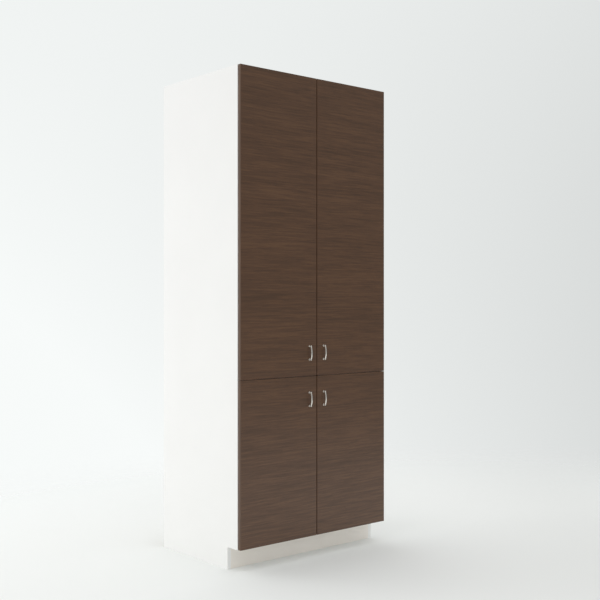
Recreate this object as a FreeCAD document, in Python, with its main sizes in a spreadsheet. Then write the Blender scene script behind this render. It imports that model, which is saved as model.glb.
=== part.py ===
import FreeCAD, Part
import math
import os
import re
from types import SimpleNamespace

# Tall utility cabinet: a white board carcass with four overlay doors on concealed hinges.
# Millimetres, +Z up, floor at z = 0, the doors face -Y, x = 0 is the middle of the cabinet and
# y = 0 the middle of its whole depth, from the front of the pulls to the rear edges.

Vector = FreeCAD.Vector
AXIS_X = Vector(1, 0, 0)
AXIS_Y = Vector(0, 1, 0)
AXIS_Z = Vector(0, 0, 1)

CARCASS_SIZES = {
    "cabinet_width": 914.4,
    "cabinet_height": 2286,
    "carcass_depth": 609.6,
    "panel_thick": 19,
    "edging_thick": 1,
    "back_thick": 6,
    "groove_depth": 8,
    "groove_clearance": 0.2,
    "rail_height": 89,
    "rail_thick": 19,
    "toe_height": 101.6,
    "toe_setback": 76.2,
    "split_height": 865,
    "wall_screw_spacing": 406.4,
    "wall_screw_radius": 2.5,
}
SHELF_SIZES = {
    "upper_shelf_count": 4,
    "lower_shelf_count": 1,
    "shelf_thick": 19,
    "shelf_setback": 20,
    "shelf_side_clearance": 1,
    "shelf_back_clearance": 2,
    "shelf_pin_radius": 2.5,
    "shelf_pin_seat": 9,
    "shelf_pin_reach": 8,
    "shelf_pin_collar_radius": 4,
    "shelf_pin_collar_thick": 0.8,
    "shelf_pin_front": 60,
    "shelf_pin_rear": 60,
    "shelf_hole_pitch": 32,
    "shelf_holes_each_way": 2,
}
JOINERY_SIZES = {
    "fit_clearance": 0.1,
    "hole_end_clearance": 1,
    "joint_inset": 75,
    "joint_step": 32,
    "dowel_radius": 4,
    "dowel_length": 30,
    "dowel_in_side": 10,
    "rail_dowel_step": 50,
    "bolt_thread_radius": 2.5,
    "bolt_thread_depth": 11,
    "bolt_radius": 3.5,
    "cam_radius": 7.5,
    "cam_height": 13,
    "cam_distance": 34,
    "cam_slot_length": 7.5,
    "cam_slot_width": 1.5,
    "cam_slot_depth": 2.2,
    "bolt_head_gap": 3,
}
DOOR_SIZES = {
    "door_thick": 19,
    "door_gap": 2,
    "door_reveal": 1.6,
    "door_split_gap": 2,
    "door_pair_gap": 4.8,
    "bumper_radius": 3.5,
    "bumper_edge_offset": 24,
}
PULL_SIZES = {
    "pull_spacing": 64,
    "pull_projection": 19,
    "pull_end_projection": 12,
    "pull_width": 7,
    "pull_grip": 5.5,
    "pull_round": 2.2,
    "pull_ball_radius": 4.6,
    "pull_post_radius": 4,
    "pull_foot_radius": 6,
    "pull_flare": 5,
    "pull_edge_offset": 42.8,
    "pull_hole_offset": 77,
    "pull_screw_radius": 2,
    "pull_screw_grip": 8,
    "pull_screw_head_radius": 4,
    "pull_screw_head_height": 2.2,
}
HINGE_SIZES = {
    "upper_hinge_count": 3,
    "lower_hinge_count": 2,
    "hinge_inset": 100,
    "cup_tab": 3,
    "cup_radius": 17.5,
    "cup_depth": 11.5,
    "cup_wall": 1.5,
    "cup_floor": 1.3,
    "flange_thick": 1,
    "flange_width": 18,
    "flange_length": 60,
    "flange_offset": 5,
    "peg_radius": 4,
    "peg_depth": 10,
    "peg_spacing": 45,
    "peg_offset": 9.5,
    "pivot_radius": 1.25,
    "pivot_clearance": 0.05,
    "open_pivot_clearance": 1.15,
    "eye_radius": 3,
    "open_eye_radius": 3.6,
    "link_width": 4,
    "link_thick": 5.4,
    "link_gap": 1.2,
    "pin_a_off_side": 13.1,
    "pin_a_behind": 5.3,
    "pin_b_off_side": 28,
    "pin_b_behind": 2.7,
    "pin_c_from_cup": 10.2,
    "pin_c_depth": 5.1,
    "pin_d_from_cup": 6.6,
    "pin_d_depth": 2.4,
    "open_eye_shift_in": 0.9,
    "open_eye_shift_out": 0.3,
    "knee_a_from_cup": 2.7,
    "knee_a_depth": 7.5,
    "knee_b_off_side": 13.9,
    "knee_b_behind": 4.2,
    "cheek_thick": 1.6,
    "cheek_clearance": 0.4,
    "arm_length": 42,
    "arm_height": 10,
    "arm_web": 1.6,
    "arm_rise": 6,
    "arm_setback": 22,
    "plate_thick": 2.5,
    "plate_width": 18,
    "plate_length": 50,
    "plate_screw_column": 37,
    "plate_screw_spacing": 32,
    "plate_screw_radius": 2.5,
    "plate_screw_depth": 12,
    "plate_screw_head_radius": 4,
    "plate_screw_head_height": 1.8,
    "arm_screw_setback": 46,
    "arm_screw_radius": 2,
    "arm_screw_grip": 6,
}
SIZES = {**CARCASS_SIZES, **SHELF_SIZES, **JOINERY_SIZES, **DOOR_SIZES, **PULL_SIZES, **HINGE_SIZES}

os.makedirs("parts", exist_ok=True)
doc = FreeCAD.newDocument("utility_cabinet")
sheet = doc.addObject("Spreadsheet::Sheet", "Sizes")
for row, (alias, number) in enumerate(SIZES.items(), 1):
    sheet.set(f"A{row}", alias)
    sheet.set(f"B{row}", str(number))
    sheet.setAlias(f"B{row}", alias)
doc.recompute()
S = SimpleNamespace(**{alias: float(sheet.get(alias)) for alias in SIZES})

# Planes that many pieces share, as formulas of the sheet and as numbers read from it.
FRONT = "(pull_projection + door_thick + door_gap - carcass_depth)/2"
REAR = f"({FRONT} + carcass_depth)"
BACK_FACE = f"({REAR} - rail_thick - back_thick)"
INNER_WIDTH = "(cabinet_width - 2*panel_thick)"
front = (S.pull_projection + S.door_thick + S.door_gap - S.carcass_depth) / 2
rear = front + S.carcass_depth
inner_x = S.cabinet_width / 2 - S.panel_thick
floor_top = S.toe_height + S.panel_thick
fixed_low = S.split_height - S.panel_thick / 2
fixed_top = S.split_height + S.panel_thick / 2
ceiling = S.cabinet_height - S.panel_thick
door_back = front - S.door_gap
door_front = door_back - S.door_thick

nodes = []
ALIAS = re.compile(r"[a-z]\w*")


def formula(text):
    """Write every alias in a formula as a reference to its cell."""
    return ALIAS.sub(lambda word: f"Sizes.{word[0]}" if word[0] in SIZES else word[0], text)


def bind(obj, **properties):
    """Tie properties of an object to formulas of the sheet."""
    for name, text in properties.items():
        obj.setExpression(name, formula(text))
    return obj


def place(obj, corner):
    """Tie an object's position to three formulas."""
    for axis, text in zip("xyz", corner):
        obj.setExpression(f"Placement.Base.{axis}", formula(text))
    return obj


def block(name, size, corner):
    """A board or block from its three sizes and its low corner."""
    box = doc.addObject("Part::Box", name)
    bind(box, Length=size[0], Width=size[1], Height=size[2])
    return place(box, corner)


def rod(name, radius, length, base, turn_axis=AXIS_Z, turn=0):
    """A round bar that starts at a point and runs along +Z, turned about an axis."""
    bar = doc.addObject("Part::Cylinder", name)
    bind(bar, Radius=radius, Height=length)
    bar.Placement.Rotation = FreeCAD.Rotation(turn_axis, turn)
    return place(bar, base)


def feature(name, shape):
    """A shape that is made from sizes read from the sheet."""
    obj = doc.addObject("Part::Feature", name)
    obj.Shape = shape
    return obj


def cut(name, base, *tools):
    """Take every tool away from a base."""
    for number, tool in enumerate(tools, 1):
        last = number == len(tools)
        result = doc.addObject("Part::Cut", name if last else f"{name}_cut_{number}")
        result.Base = base
        result.Tool = tool
        base = result
    return base


def fuse(name, *pieces):
    """Join pieces that the real object has as one."""
    joined = doc.addObject("Part::MultiFuse", name)
    joined.Shapes = list(pieces)
    return joined


def group(name, *pieces):
    """Separate solids that share a node."""
    bundle = doc.addObject("Part::Compound", name)
    bundle.Links = list(pieces)
    return bundle


def mirrored(name, source):
    """The right-hand copy of a left-hand piece."""
    copy = doc.addObject("Part::Mirroring", name)
    copy.Source = source
    copy.Normal = AXIS_X
    return copy


def copies(name, template, points):
    """A group with the template's solids at every point."""
    doc.recompute()
    solids = []
    for point in points:
        moved = template.Shape.copy()
        moved.translate(point)
        solids += moved.Solids
    return feature(name, Part.makeCompound(solids))


def both_sides(name, left):
    """A group with the left-hand solids and their mirror images."""
    return group(name, left, mirrored(f"{name}_right", left))


def drill(name, points, direction, radius, depth):
    """A cutter with one round hole at every point."""
    holes = [Part.makeCylinder(radius, depth, point, direction) for point in points]
    return feature(name, Part.makeCompound(holes))


def node(obj):
    """Mark an object as a finished sub-part."""
    obj.Label = obj.Name
    nodes.append(obj)
    return obj


# Places of the shelves, hinges and joints, worked out from the sheet.

def shelf_bottoms(low, high, count):
    """Undersides of shelves that share a space evenly."""
    bay = (high - low - count * S.shelf_thick) / (count + 1)
    return [low + (n + 1) * bay + n * S.shelf_thick for n in range(int(count))]


def hinge_heights(low, high, count):
    """Hinge centres, evenly spaced between the two insets."""
    step = (high - low - 2 * S.hinge_inset) / (count - 1)
    return [low + S.hinge_inset + n * step for n in range(int(count))]


upper_shelves = shelf_bottoms(fixed_top, ceiling, S.upper_shelf_count)
lower_shelves = shelf_bottoms(floor_top, fixed_low, S.lower_shelf_count)
pin_columns = [front + S.shelf_pin_front, rear - S.rail_thick - S.back_thick - S.shelf_pin_rear]
pin_points = [Vector(-inner_x, y, z - S.shelf_pin_radius)
              for z in upper_shelves + lower_shelves for y in pin_columns]

lower_door = (S.toe_height + S.door_reveal, S.split_height - S.door_split_gap / 2)
upper_door = (S.split_height + S.door_split_gap / 2, S.cabinet_height - S.door_reveal)
lower_hinges = hinge_heights(*lower_door, S.lower_hinge_count)
upper_hinges = hinge_heights(*upper_door, S.upper_hinge_count)


def hinge_points(heights):
    """Hinge origins: the outer side face, the carcass front and the hinge's own height."""
    return [Vector(-S.cabinet_width / 2, front, z) for z in heights]


joint_rows = [front + S.joint_inset, rear - S.joint_inset - S.rail_thick]
board_middles = [S.toe_height + S.panel_thick / 2, S.split_height, S.cabinet_height - S.panel_thick / 2]
bolt_points = [Vector(-inner_x, y, z) for z in board_middles for y in joint_rows]
board_dowels = [Vector(-inner_x, y + S.joint_step, z) for z in board_middles for y in joint_rows]
toe_middle = front + S.toe_setback + S.panel_thick / 2
rail_middle = rear - S.rail_thick / 2
rail_lows = [floor_top, ceiling - S.rail_height]


def end_dowels(y, low, height):
    """Two dowels in the end of an upright board."""
    middle = low + height / 2
    half = S.rail_dowel_step / 2
    return [Vector(-inner_x, y, middle - half), Vector(-inner_x, y, middle + half)]


toe_dowels = end_dowels(toe_middle, 0, S.toe_height)
rail_dowels = [end_dowels(rail_middle, low, S.rail_height) for low in rail_lows]
dowel_points = board_dowels + toe_dowels + rail_dowels[0] + rail_dowels[1]


# Carcass boards

def shelf_holes():
    """Rows of pin holes above and below each shelf's pins."""
    reach = int(S.shelf_holes_each_way)
    steps = [n * S.shelf_hole_pitch for n in range(-reach, reach + 1)]
    points = [point + Vector(0, 0, step) for point in pin_points for step in steps]
    depth = S.shelf_pin_seat + S.hole_end_clearance
    return drill("shelf_pin_holes", points, -AXIS_X, S.shelf_pin_radius + S.fit_clearance, depth)


def plate_screw_points():
    """Screw places of all mounting plates, on the side's inner face."""
    half = S.plate_screw_spacing / 2
    return [Vector(-inner_x, front + S.plate_screw_column, z + dz)
            for z in lower_hinges + upper_hinges for dz in (-half, half)]


def side_holes():
    """Every hole in the inner face of a side panel."""
    dowel_depth = S.dowel_in_side + S.hole_end_clearance
    bolt_depth = S.bolt_thread_depth + S.hole_end_clearance
    screw_depth = S.plate_screw_depth + S.hole_end_clearance
    return group(
        "side_holes", shelf_holes(),
        drill("side_dowel_holes", dowel_points, -AXIS_X, S.dowel_radius + S.fit_clearance, dowel_depth),
        drill("side_bolt_holes", bolt_points, -AXIS_X,
              S.bolt_thread_radius + S.fit_clearance, bolt_depth),
        drill("side_plate_holes", plate_screw_points(), -AXIS_X,
              S.plate_screw_radius + S.fit_clearance, screw_depth))


def side_panels():
    """Full-height sides with a toe notch, a groove for the back and drilled inner faces."""
    board = block("side_board", ("panel_thick", "carcass_depth - edging_thick", "cabinet_height"),
                  ("-cabinet_width/2", f"{FRONT} + edging_thick", "0"))
    notch = block("toe_notch", ("panel_thick", "toe_setback", "toe_height"),
                  ("-cabinet_width/2", FRONT, "0"))
    groove = block("side_groove",
                   ("groove_depth", "back_thick + 2*groove_clearance",
                    "cabinet_height - toe_height - 2*panel_thick + 2*groove_depth"),
                   (f"-{INNER_WIDTH}/2 - groove_depth", f"{BACK_FACE} - groove_clearance",
                    "toe_height + panel_thick - groove_depth"))
    left = node(cut("left_side_panel", board, notch, groove, side_holes()))
    node(mirrored("right_side_panel", left))


def end_holes(name, dowels, bolts=()):
    """Holes in both ends of a board, for its dowels and cam bolts."""
    in_board = S.dowel_length - S.dowel_in_side + S.hole_end_clearance
    holes = [drill(f"{name}_dowel_holes", dowels, AXIS_X, S.dowel_radius + S.fit_clearance, in_board)]
    if bolts:
        bolt_bore = S.bolt_radius + S.fit_clearance
        holes.append(drill(f"{name}_bolt_holes", bolts, AXIS_X, bolt_bore, S.cam_distance))
        seats = [p + Vector(S.cam_distance, 0, -S.panel_thick / 2) for p in bolts]
        holes.append(drill(f"{name}_cam_holes", seats, AXIS_Z, S.cam_radius + S.fit_clearance,
                           S.cam_height + S.fit_clearance))
    left = group(f"{name}_left_holes", *holes)
    return both_sides(f"{name}_holes", left)


def level_board(name, depth, low, index):
    """A board between the sides, held by dowels and cams at both ends."""
    board = block(f"{name}_board", (INNER_WIDTH, depth, "panel_thick"),
                  (f"-{INNER_WIDTH}/2", f"{FRONT} + edging_thick", low))
    rows = slice(2 * index, 2 * index + 2)
    return board, end_holes(name, board_dowels[rows], bolt_points[rows])


def back_groove(name, low):
    """The groove that takes the back panel's top or bottom edge."""
    return block(name, (INNER_WIDTH, "back_thick + 2*groove_clearance", "groove_depth"),
                 (f"-{INNER_WIDTH}/2", f"{BACK_FACE} - groove_clearance", low))


def level_boards():
    """Bottom, fixed shelf and top."""
    full = "carcass_depth - edging_thick"
    to_back = "carcass_depth - edging_thick - rail_thick - back_thick"
    board, holes = level_board("bottom_panel", full, "toe_height", 0)
    groove = back_groove("bottom_groove", "toe_height + panel_thick - groove_depth")
    node(cut("bottom_panel", board, groove, holes))
    board, holes = level_board("fixed_shelf", to_back, "split_height - panel_thick/2", 1)
    node(cut("fixed_shelf", board, holes))
    board, holes = level_board("top_panel", full, "cabinet_height - panel_thick", 2)
    groove = back_groove("top_groove", "cabinet_height - panel_thick")
    node(cut("top_panel", board, groove, holes))


def wall_screw_holes():
    """Holes for wall screws, through both hanging rails and the back panel."""
    half = S.wall_screw_spacing / 2
    points = [Vector(x, rear - S.rail_thick - S.back_thick, low + S.rail_height / 2)
              for low in rail_lows for x in (-half, half)]
    return drill("wall_screw_holes", points, AXIS_Y, S.wall_screw_radius, S.rail_thick + S.back_thick)


def back_and_rails():
    """A thin back in its grooves, with hanging rails behind it."""
    holes = wall_screw_holes()
    sheet_height = "cabinet_height - toe_height - 2*panel_thick + 2*groove_depth - 2*groove_clearance"
    board = block("back_board",
                  (f"{INNER_WIDTH} + 2*groove_depth - 2*groove_clearance", "back_thick", sheet_height),
                  (f"-{INNER_WIDTH}/2 - groove_depth + groove_clearance", BACK_FACE,
                   "toe_height + panel_thick - groove_depth + groove_clearance"))
    node(cut("back_panel", board, holes))
    lows = {"lower_hanging_rail": "toe_height + panel_thick",
            "top_hanging_rail": "cabinet_height - panel_thick - rail_height"}
    for (name, low), dowels in zip(lows.items(), rail_dowels):
        board = block(f"{name}_board", (INNER_WIDTH, "rail_thick", "rail_height"),
                      (f"-{INNER_WIDTH}/2", f"{REAR} - rail_thick", low))
        node(cut(name, board, holes, end_holes(name, dowels)))


def toe_kick():
    """The recessed board under the doors, flush with the notch in the sides."""
    board = block("toe_board", (INNER_WIDTH, "panel_thick", "toe_height"),
                  (f"-{INNER_WIDTH}/2", f"{FRONT} + toe_setback", "0"))
    node(cut("toe_kick", board, end_holes("toe_kick", toe_dowels)))


# Adjustable shelves and their pins

SHELF_WIDTH = f"({INNER_WIDTH} - 2*shelf_side_clearance)"
SHELF_FRONT = f"{FRONT} + shelf_setback"
SHELF_DEPTH = "(carcass_depth - rail_thick - back_thick - shelf_setback - shelf_back_clearance)"


def shelf_low(low, high, count, index):
    """A shelf's underside as a formula, from the space that the shelves share."""
    bay = f"(({high}) - ({low}) - {count}*shelf_thick)/({count} + 1)"
    return f"({low}) + {index + 1}*{bay} + {index}*shelf_thick"


def shelf_lows():
    """Name and underside formula of every adjustable shelf."""
    upper = ("split_height + panel_thick/2", "cabinet_height - panel_thick", "upper_shelf_count")
    lower = ("toe_height + panel_thick", "split_height - panel_thick/2", "lower_shelf_count")
    names = {f"upper_shelf_{n + 1}": shelf_low(*upper, n) for n in range(int(S.upper_shelf_count))}
    names.update({f"lower_shelf_{n + 1}": shelf_low(*lower, n) for n in range(int(S.lower_shelf_count))})
    return names


def shelves():
    """Loose shelves, each on four pins."""
    for name, low in shelf_lows().items():
        node(block(name, (SHELF_WIDTH, f"{SHELF_DEPTH} - edging_thick", "shelf_thick"),
                   (f"-{SHELF_WIDTH}/2", f"{SHELF_FRONT} + edging_thick", low)))


def shelf_pins():
    """Metal pins, part in the side and part under the shelf, with a collar against the side."""
    shank = rod("pin_shank", "shelf_pin_radius", "shelf_pin_seat + shelf_pin_reach",
                ("-shelf_pin_seat", "0", "0"), AXIS_Y, 90)
    collar = rod("pin_collar", "shelf_pin_collar_radius", "shelf_pin_collar_thick",
                 ("0", "0", "0"), AXIS_Y, 90)
    template = fuse("pin_template", shank, collar)
    node(both_sides("shelf_pins", copies("left_shelf_pins", template, pin_points)))


# Fasteners that pull the boards together

def joinery():
    """Wood dowels, cam bolts and cam discs at the ends of the boards."""
    dowel = rod("dowel_template", "dowel_radius", "dowel_length",
                ("-dowel_in_side", "0", "0"), AXIS_Y, 90)
    node(both_sides("wood_dowels", copies("left_dowels", dowel, dowel_points)))

    thread = rod("bolt_thread", "bolt_thread_radius", "bolt_thread_depth",
                 ("-bolt_thread_depth", "0", "0"), AXIS_Y, 90)
    shank = rod("bolt_shank", "bolt_radius", "cam_distance - bolt_head_gap",
                ("0", "0", "0"), AXIS_Y, 90)
    bolt = fuse("bolt_template", thread, shank)
    node(both_sides("cam_bolts", copies("left_bolts", bolt, bolt_points)))

    disc = rod("cam_body", "cam_radius", "cam_height", ("cam_distance", "0", "-panel_thick/2"))
    seat = rod("cam_seat", "bolt_radius + fit_clearance", "cam_distance - bolt_head_gap + fit_clearance",
               ("0", "0", "0"), AXIS_Y, 90)
    drive = block("cam_drive", ("cam_slot_length", "cam_slot_width", "cam_slot_depth"),
                  ("cam_distance - cam_slot_length/2", "-cam_slot_width/2", "-panel_thick/2"))
    cam = cut("cam_template", disc, seat, drive)
    node(both_sides("cam_discs", copies("left_cams", cam, bolt_points)))


# White bands on the front edges of the carcass and of the adjustable shelves

def carcass_edging():
    """One band per front edge of the fixed boards, as wide as its board."""
    side = block("side_band", ("panel_thick", "edging_thick", "cabinet_height - toe_height"),
                 ("-cabinet_width/2", FRONT, "toe_height"))
    bands = [side, mirrored("right_side_band", side)]
    lows = ["toe_height", "split_height - panel_thick/2", "cabinet_height - panel_thick"]
    for number, low in enumerate(lows, 1):
        bands.append(block(f"board_band_{number}", (INNER_WIDTH, "edging_thick", "panel_thick"),
                           (f"-{INNER_WIDTH}/2", FRONT, low)))
    node(group("carcass_edging", *bands))


def shelf_edging():
    """One band on the front edge of every adjustable shelf."""
    bands = [block(f"{name}_band", (SHELF_WIDTH, "edging_thick", "shelf_thick"),
                   (f"-{SHELF_WIDTH}/2", SHELF_FRONT, low))
             for name, low in shelf_lows().items()]
    node(group("shelf_edging", *bands))


# Hinge pieces, modelled on the left: x from the cabinet's outer side face, -y ahead of the carcass
# front, z from the hinge centre. The pivots a and b sit in the arm, c and d in the cup.

CUP_X = "(door_reveal + cup_tab + cup_radius)"
cup_x = S.door_reveal + S.cup_tab + S.cup_radius
pivot_a = Vector(S.panel_thick + S.pin_a_off_side, S.pin_a_behind, 0)
pivot_b = Vector(S.panel_thick + S.pin_b_off_side, S.pin_b_behind, 0)
pivot_c = Vector(cup_x - S.pin_c_from_cup, -S.door_gap - S.pin_c_depth, 0)
pivot_d = Vector(cup_x - S.pin_d_from_cup, -S.door_gap - S.pin_d_depth, 0)
open_eye = pivot_d + Vector(S.open_eye_shift_in, -S.open_eye_shift_out, 0)
knee_a = Vector(cup_x - S.knee_a_from_cup, -S.door_gap - S.knee_a_depth, 0)
knee_b = Vector(S.panel_thick + S.knee_b_off_side, S.knee_b_behind, 0)
link_low = S.link_gap / 2
link_high = link_low + S.link_thick
cheek_inner = link_high + S.cheek_clearance
cheek_outer = cheek_inner + S.cheek_thick


def strap(start, end, width, low, high):
    """A flat bar with round ends between two points."""
    run = end - start
    side = Vector(-run.y, run.x, 0).normalize() * (width / 2)
    corners = [start + side, end + side, end - side, start - side]
    bar = Part.Face(Part.makePolygon(corners + corners[:1])).extrude(AXIS_Z * (high - low))
    ends = [Part.makeCylinder(width / 2, high - low, point) for point in (start, end)]
    whole = bar.fuse(ends).removeSplitter()
    whole.translate(AXIS_Z * low)
    return whole


def link(name, points, eyes, low, high):
    """A bent flat link through its points, with a round eye at each end."""
    height = high - low
    shape = strap(points[0], points[1], S.link_width, low, high)
    shape = shape.fuse(strap(points[1], points[2], S.link_width, low, high))
    for point, outer, hole in eyes:
        shape = shape.fuse(Part.makeCylinder(outer, height, point + AXIS_Z * low))
    for point, outer, hole in eyes:
        shape = shape.cut(Part.makeCylinder(hole, height, point + AXIS_Z * low))
    return feature(name, shape.removeSplitter())


def hinge_links():
    """The two links of one hinge: the inner one turns on a and c, the outer one on b and round d."""
    running = S.pivot_radius + S.pivot_clearance
    loose = S.pivot_radius + S.open_pivot_clearance
    inner_eyes = ((pivot_a, S.eye_radius, running), (pivot_c, S.eye_radius, running))
    outer_eyes = ((pivot_b, S.eye_radius, running), (open_eye, S.open_eye_radius, loose))
    inner = link("inner_link", (pivot_a, knee_a, pivot_c), inner_eyes, -link_high, -link_low)
    outer = link("outer_link", (pivot_b, knee_b, open_eye), outer_eyes, link_low, link_high)
    return inner, outer


def cup_pin_end(from_cup):
    """How far from the hinge centre a cup pin still lies inside the cup's wall."""
    cavity = S.cup_radius - S.cup_wall
    return math.sqrt(cavity ** 2 - (from_cup + S.pivot_radius) ** 2) + S.cup_wall / 2


def pivot_pins(name, spans):
    """Upright pins, each at its pivot between two heights."""
    pins = []
    for key, point, low, high in spans:
        pin = Part.makeCylinder(S.pivot_radius, high - low, point + AXIS_Z * low)
        pins.append(feature(f"{name}_{key}", pin))
    return group(name, *pins)


def hinge_pins():
    """Pins of one hinge: those held by the arm and those held by the cup."""
    arm = pivot_pins("arm_pin_template", (("a", pivot_a, -cheek_outer, -link_low),
                                          ("b", pivot_b, link_low, cheek_outer)))
    cup = pivot_pins("cup_pin_template", (("c", pivot_c, -cup_pin_end(S.pin_c_from_cup), -link_low),
                                          ("d", pivot_d, link_low, cup_pin_end(S.pin_d_from_cup))))
    return arm, cup


PEG_X = f"{CUP_X} + peg_offset"


def cup_pegs(name, extra, depth):
    """The two press-in pegs of a cup, or the holes that take them."""
    return [rod(f"{name}_{sign}", f"peg_radius + {extra}", depth,
                (PEG_X, "-door_gap", f"{factor}*peg_spacing/2"), AXIS_X, 90)
            for sign, factor in (("low", -1), ("high", 1))]


def hinge_cup(pins):
    """A round cup with a flange on the door's back and two pegs pressed into the door."""
    body = rod("cup_body", "cup_radius", "cup_depth", (CUP_X, "-door_gap", "0"), AXIS_X, 90)
    flange = block("cup_flange", ("flange_width", "flange_thick", "flange_length"),
                   (f"{CUP_X} + flange_offset - flange_width/2", "-door_gap", "-flange_length/2"))
    whole = fuse("cup_whole", body, flange, *cup_pegs("cup_peg", "0", "peg_depth"))
    cavity = rod("cup_cavity", "cup_radius - cup_wall", "cup_depth - cup_floor + flange_thick",
                 (CUP_X, "-door_gap + flange_thick", "0"), AXIS_X, 90)
    return cut("cup_template", whole, cavity, pins)


def cup_bores():
    """What one hinge takes out of the door: the cup's bore and its two peg holes."""
    bore = rod("cup_bore", "cup_radius + fit_clearance", "cup_depth + fit_clearance",
               (CUP_X, "-door_gap", "0"), AXIS_X, 90)
    pegs = cup_pegs("peg_hole", "fit_clearance", "peg_depth + fit_clearance")
    return fuse("cup_bore_template", bore, *pegs)


arm_low = S.panel_thick + S.plate_thick
arm_top = arm_low + S.arm_height


def hinge_arm(pins):
    """A channel-shaped arm over the plate, whose two cheeks carry the pivots a and b."""
    length = 2 * cheek_outer
    body = Part.makeBox(S.arm_height, S.arm_length, length, Vector(arm_low, S.arm_setback, -cheek_outer))
    neck = Vector(arm_top - S.arm_rise, S.arm_setback + S.arm_rise, 0)
    bars = [strap(neck, pivot_a, 2 * S.eye_radius, -cheek_outer, cheek_outer),
            strap(neck, pivot_b, 2 * S.eye_radius, -cheek_outer, cheek_outer),
            strap(pivot_a, pivot_b, 2 * S.eye_radius, -cheek_outer, cheek_outer)]
    outline = body.fuse(bars).removeSplitter()
    reach = S.arm_setback + S.arm_length
    channel = Part.makeBox(S.arm_height - S.arm_web, reach + S.arm_length, 2 * cheek_inner,
                           Vector(arm_low, -S.arm_length, -cheek_inner))
    mouth = Part.makeBox(2 * pivot_b.x, S.arm_setback + S.arm_length, 2 * cheek_inner,
                         Vector(0, -S.arm_length, -cheek_inner))
    hole = Part.makeCylinder(S.arm_screw_radius + S.fit_clearance, S.arm_height,
                             Vector(arm_low, S.arm_screw_setback, 0), AXIS_X)
    shape = outline.cut([channel, mouth, hole])
    return cut("arm_template", feature("arm_whole", shape.removeSplitter()), pins)


def hinge_plate():
    """A cross-shaped plate on the side panel, with the boss that the arm is screwed to."""
    base = block("plate_base", ("plate_thick", "plate_width", "plate_length"),
                 ("panel_thick", "plate_screw_column - plate_width/2", "-plate_length/2"))
    half = cheek_inner - S.cheek_clearance
    boss = feature("plate_boss", Part.makeBox(
        S.arm_height - S.arm_web, S.arm_length, 2 * half, Vector(arm_low, S.arm_setback, -half)))
    holes = [rod(f"plate_hole_{sign}", "plate_screw_radius + fit_clearance", "plate_thick",
                 ("panel_thick", "plate_screw_column", f"{factor}*plate_screw_spacing/2"), AXIS_Y, 90)
             for sign, factor in (("low", -1), ("high", 1))]
    tap = rod("arm_screw_tap", "arm_screw_radius + fit_clearance", "arm_height",
              ("panel_thick + plate_thick", "arm_screw_setback", "0"), AXIS_Y, 90)
    return cut("plate_template", fuse("plate_whole", base, boss), *holes, tap)


def plate_screws():
    """Two wood screws through the plate and one machine screw through the arm."""
    top = "panel_thick + plate_thick"
    screws = []
    for sign, factor in (("low", -1), ("high", 1)):
        z = f"{factor}*plate_screw_spacing/2"
        shank = rod(f"plate_screw_{sign}", "plate_screw_radius", "plate_screw_depth + plate_thick",
                    ("panel_thick - plate_screw_depth", "plate_screw_column", z), AXIS_Y, 90)
        head = rod(f"plate_screw_head_{sign}", "plate_screw_head_radius", "plate_screw_head_height",
                   (top, "plate_screw_column", z), AXIS_Y, 90)
        screws.append(fuse(f"plate_screw_whole_{sign}", shank, head))
    crown = f"{top} + arm_height"
    shank = rod("arm_screw", "arm_screw_radius", "arm_web + arm_screw_grip",
                (f"{crown} - arm_web - arm_screw_grip", "arm_screw_setback", "0"), AXIS_Y, 90)
    head = rod("arm_screw_head", "plate_screw_head_radius", "plate_screw_head_height",
               (crown, "arm_screw_setback", "0"), AXIS_Y, 90)
    screws.append(fuse("arm_screw_whole", shank, head))
    return group("plate_screw_template", *screws)


def hinge_carcass_nodes(arm_pins):
    """Plates, screws, arms and arm pins of all hinges, on both sides."""
    points = hinge_points(lower_hinges + upper_hinges)
    templates = {"hinge_plates": hinge_plate(), "plate_screws": plate_screws(),
                 "hinge_arms": hinge_arm(arm_pins), "arm_pins": arm_pins}
    for name, template in templates.items():
        node(both_sides(name, copies(f"left_{name}", template, points)))


# Doors

# The largest share of a bar's thickness that one rounded edge may take.
ROUND_LIMIT = 0.4


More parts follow.
